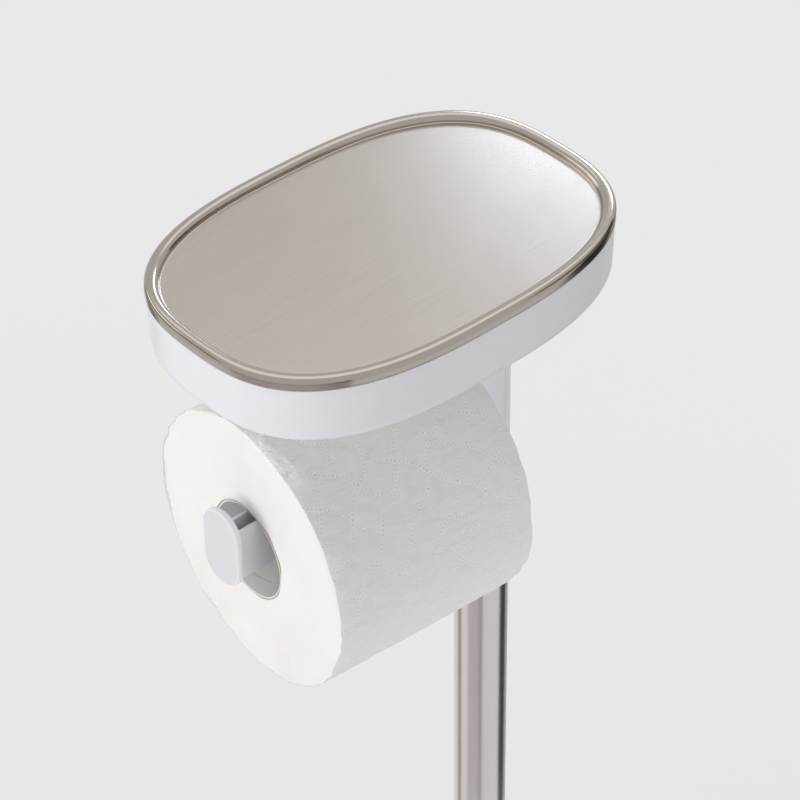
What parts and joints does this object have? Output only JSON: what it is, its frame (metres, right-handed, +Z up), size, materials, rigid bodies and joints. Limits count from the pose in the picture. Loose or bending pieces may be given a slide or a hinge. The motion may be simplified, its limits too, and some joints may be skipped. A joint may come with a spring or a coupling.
{
  "type": "free-standing toilet roll holder",
  "caption": "Free-standing toilet roll holder: oval lift-off steel tray over a white storage tub, side arm with a loose roll, steel pole and round weighted base.",
  "frame": {"origin": "on the floor, at the centre of the round base and below the middle of the tray", "axes": "+Z up; the roll arm runs along X with its free end towards -X and the pole on the +X side; Y across the tray"},
  "size_m": [0.21, 0.21, 0.6401],
  "materials": {
    "brushed_steel": "finely brushed stainless steel",
    "white_plastic": "smooth satin-gloss white moulding",
    "zinc_plate": "zinc plated fasteners and plugs",
    "iron_weight": "black dipped cast iron",
    "soft_pad": "matt closed-cell pad",
    "paper": "soft embossed tissue",
    "cardboard": "grey-brown wound board"
  },
  "bodies": {
    "stand": {"tub": "white_plastic", "tub_screws": "zinc_plate", "head_bolt": "zinc_plate", "head_washer": "zinc_plate", "column_front_shell": "white_plastic", "column_rear_cover": "white_plastic", "roll_arm": "white_plastic", "arm_screws": "zinc_plate", "arm_end_cap": "white_plastic", "pole": "brushed_steel", "pole_top_insert": "zinc_plate", "pole_foot_insert": "zinc_plate", "pole_ferrule": "brushed_steel", "base_cover": "brushed_steel", "base_weight": "iron_weight", "base_pad": "soft_pad", "base_bolt": "zinc_plate", "base_washer": "zinc_plate"},
    "tray": {"tray_pressing": "brushed_steel", "tray_backer": "white_plastic"},
    "roll": {"roll_core": "cardboard", "roll_paper": "paper"}
  },
  "joints": [
    {"name": "tray_lift", "type": "slide", "parent": "stand", "child": "tray", "axis": [0, 0, 1], "range_m": [0, 0.06]},
    {"name": "roll_spin", "type": "hinge", "parent": "stand", "child": "roll", "pos_m": [-0.023, 0, 0.51793], "axis": [0.9981, -0.061, 0], "continuous": true}
  ]
}
